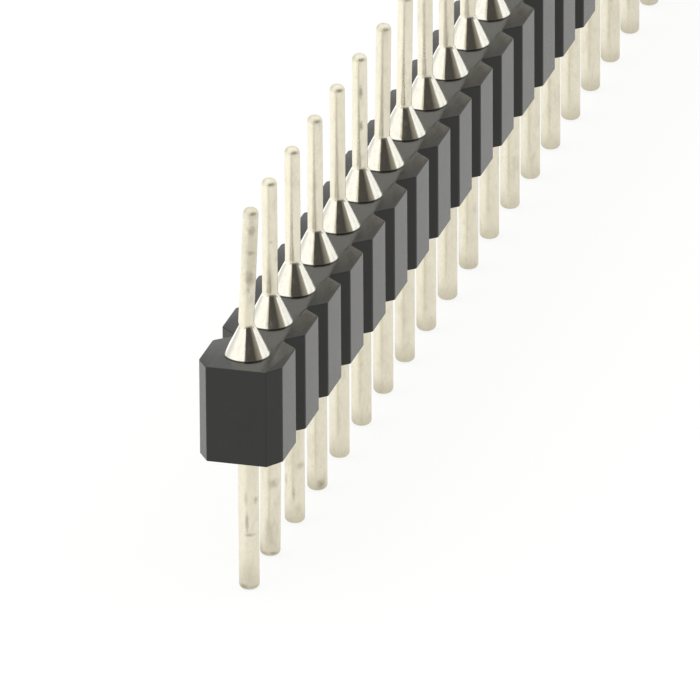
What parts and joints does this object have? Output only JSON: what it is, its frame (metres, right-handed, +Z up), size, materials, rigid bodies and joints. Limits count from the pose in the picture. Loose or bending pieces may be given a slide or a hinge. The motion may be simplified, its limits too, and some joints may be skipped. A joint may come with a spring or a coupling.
{
  "type": "single-row round pin header",
  "caption": "Single-row turned-pin header: a notched break-away plastic strip holding a line of round metal pins with conical shoulders, thin contacts above and thicker solder tails below.",
  "frame": {"origin": "middle of the strip's underside, on the plane that sits on a circuit board", "axes": "+X along the strip, from the first pin to the last; +Y across it; +Z up, from the board side to the thin contacts"},
  "size_m": [0.1016, 0.0026, 0.0123],
  "materials": {
    "housing": "moulded, fine matt grain",
    "pin": "turned and tin plated, satin with bright shoulders"
  },
  "bodies": {
    "root": {"housing": "housing", "pin_01": "pin", "pin_02": "pin", "pin_03": "pin", "pin_04": "pin", "pin_05": "pin", "pin_06": "pin", "pin_07": "pin", "pin_08": "pin", "pin_09": "pin", "pin_10": "pin", "pin_11": "pin", "pin_12": "pin", "pin_13": "pin", "pin_14": "pin", "pin_15": "pin", "pin_16": "pin", "pin_17": "pin", "pin_18": "pin", "pin_19": "pin", "pin_20": "pin", "pin_21": "pin", "pin_22": "pin", "pin_23": "pin", "pin_24": "pin", "pin_25": "pin", "pin_26": "pin", "pin_27": "pin", "pin_28": "pin", "pin_29": "pin", "pin_30": "pin", "pin_31": "pin", "pin_32": "pin", "pin_33": "pin", "pin_34": "pin", "pin_35": "pin", "pin_36": "pin", "pin_37": "pin", "pin_38": "pin", "pin_39": "pin", "pin_40": "pin"}
  },
  "joints": []
}
